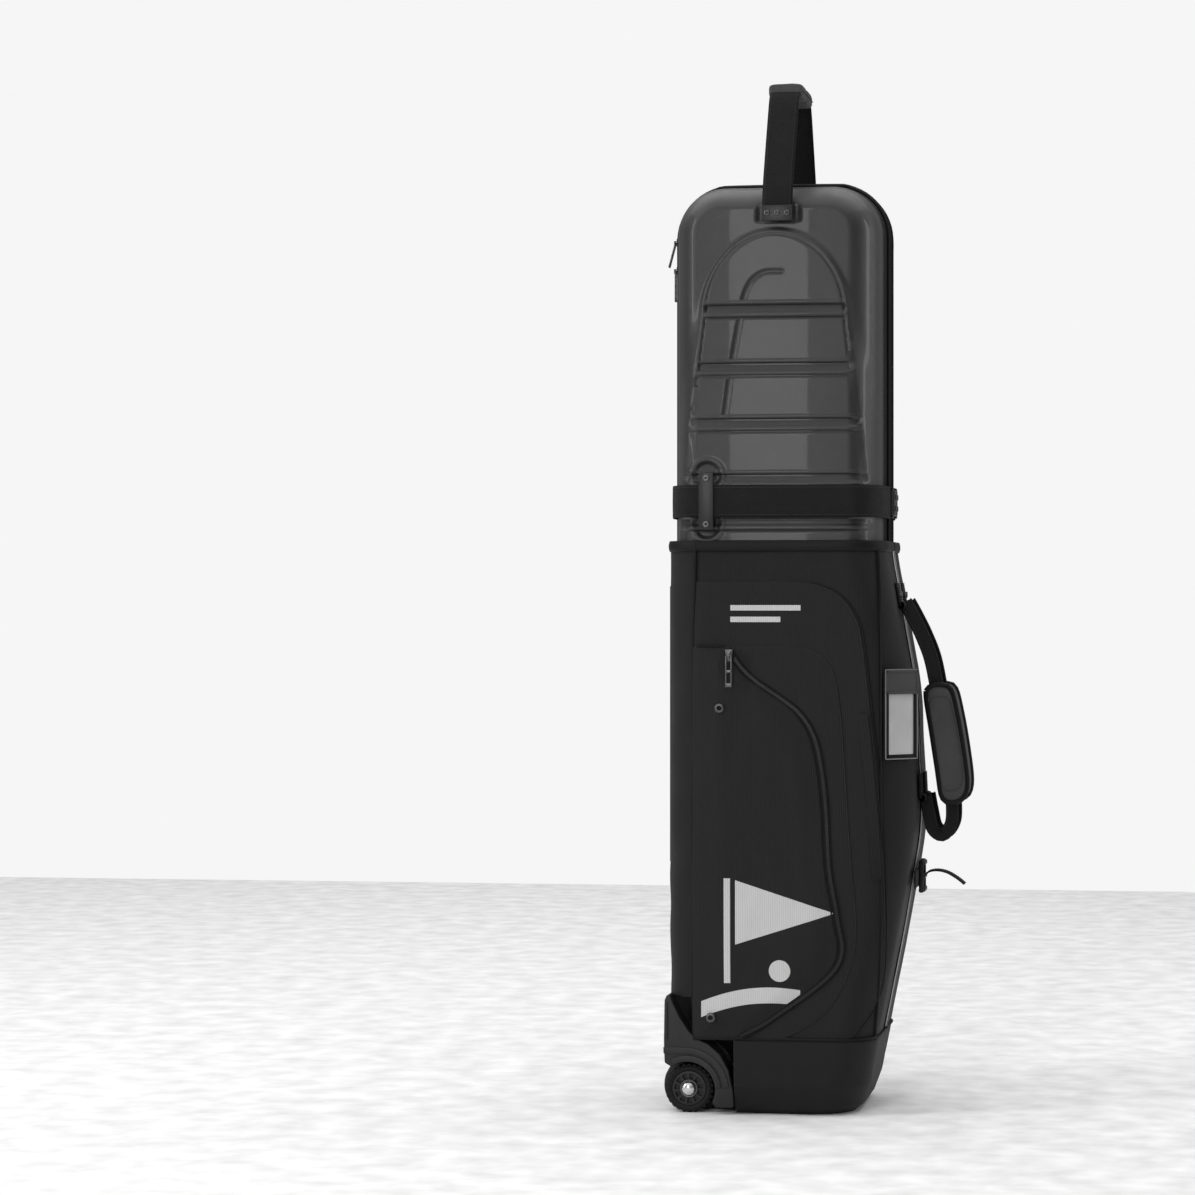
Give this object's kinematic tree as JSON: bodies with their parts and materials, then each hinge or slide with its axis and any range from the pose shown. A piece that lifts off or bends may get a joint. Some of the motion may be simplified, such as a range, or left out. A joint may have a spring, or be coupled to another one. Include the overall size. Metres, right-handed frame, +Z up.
{
  "type": "golf travel case",
  "caption": "Upright golf travel case with a hard two-half top shell, a soft hollow fabric body, a side pocket, carry handles, a belt and corner wheels.",
  "frame": {"origin": "on the floor under the middle of the shell's rim, on the case's centre plane", "axes": "+X towards the front with the carry handle, -X towards the wheels, +Z up"},
  "size_m": [0.4301, 0.2926, 1.443],
  "materials": {
    "shell": "satin moulded shell",
    "lining": "brushed foam-backed lining",
    "zip": "light grey zip tape",
    "hardware": "dark zip metal",
    "pull": "moulded pull",
    "webbing": "woven webbing",
    "buckle": "moulded buckle plastic",
    "screw": "blackened steel",
    "grip": "padded wrap",
    "body_fabric": "ribbed polyester",
    "binding": "sewn binding",
    "boot_fabric": "coated boot fabric",
    "board": "ribbed board",
    "housing": "moulded housing",
    "tyre": "wheel rubber",
    "hub": "moulded hub",
    "bearing": "bearing steel",
    "axle": "bright axle bolt"
  },
  "bodies": {
    "root": {"shell_far": "shell", "lining_far": "lining", "head_pad": "lining", "zip_tape_far": "zip", "zip_front": "zip", "main_slider_upper": "hardware", "belt_far": "webbing", "buckle_socket": "buckle", "keeper_far": "buckle", "keeper_screws_far": "screw", "handle_strap_far": "webbing", "handle_grip_far": "grip", "anchor_plate_far": "buckle", "anchor_screws_far": "screw", "side_panel_near": "body_fabric", "side_panel_far": "body_fabric", "back_gusset": "body_fabric", "front_gusset": "body_fabric", "boot": "boot_fabric", "rim_binding": "binding", "base_board": "board", "back_stiffener": "board", "inner_strap": "webbing", "inner_buckle": "buckle", "pocket": "body_fabric", "eyelets": "hardware", "id_frame": "buckle", "carry_webbing_near": "webbing", "carry_webbing_far": "webbing", "carry_grip": "grip", "carry_anchors": "webbing", "carry_rivets": "screw", "compression_strap": "webbing", "ladder_buckle": "buckle", "back_rails": "buckle", "housing_near": "housing", "housing_far": "housing", "bearings": "bearing", "axle_bolts": "axle"},
    "near_half": {"shell_near": "shell", "lining_near": "lining", "zip_tape_near": "zip", "belt_near": "webbing", "buckle_plug": "buckle", "keeper_near": "buckle", "keeper_screws_near": "screw", "handle_strap_near": "webbing", "handle_grip_near": "grip", "anchor_plate_near": "buckle", "anchor_screws_near": "screw"},
    "wheel_near": {"tyre_near": "tyre", "hub_near": "hub"},
    "wheel_far": {"tyre_far": "tyre", "hub_far": "hub"},
    "lower_slider": {"main_slider_lower": "hardware"},
    "lower_pull": {"main_pull_lower": "pull"},
    "upper_pull": {"main_pull_upper": "pull"},
    "pocket_slide": {"pocket_slider": "hardware"},
    "pocket_tab": {"pocket_pull": "pull"},
    "id_lid": {"id_flap": "body_fabric"}
  },
  "joints": [
    {"name": "near_half_fold", "type": "hinge", "parent": "root", "child": "near_half", "pos_m": [0, -0.136, 0.795], "axis": [1, 0, 0], "range_deg": [0, 90]},
    {"name": "wheel_near_spin", "type": "hinge", "parent": "root", "child": "wheel_near", "pos_m": [-0.12, -0.098, 0.034], "axis": [0, 1, 0], "continuous": true},
    {"name": "wheel_far_spin", "type": "hinge", "parent": "root", "child": "wheel_far", "pos_m": [-0.12, 0.098, 0.034], "axis": [0, 1, 0], "continuous": true},
    {"name": "lower_slider_run", "type": "slide", "parent": "root", "child": "lower_slider", "axis": [0, 0, 1], "range_m": [-0.24, 0]},
    {"name": "lower_pull_tip", "type": "hinge", "parent": "lower_slider", "child": "lower_pull", "pos_m": [-0.1578, 0, 1.184], "axis": [0, 1, 0], "range_deg": [0, 90]},
    {"name": "upper_pull_tip", "type": "hinge", "parent": "root", "child": "upper_pull", "pos_m": [-0.1578, 0, 1.224], "axis": [0, 1, 0], "range_deg": [0, 75]},
    {"name": "pocket_slider_run", "type": "slide", "parent": "root", "child": "pocket_slide", "axis": [0.64, 0, -0.7684], "range_m": [0, 0.03]},
    {"name": "pocket_pull_tip", "type": "hinge", "parent": "pocket_slide", "child": "pocket_tab", "pos_m": [-0.058, -0.14935, 0.638], "axis": [-1, 0, 0], "range_deg": [0, 90]},
    {"name": "id_flap_lift", "type": "hinge", "parent": "root", "child": "id_lid", "pos_m": [0.17957, -0.12057, 0.6188], "axis": [-0.7071, -0.7071, 0], "range_deg": [0, 100]}
  ]
}
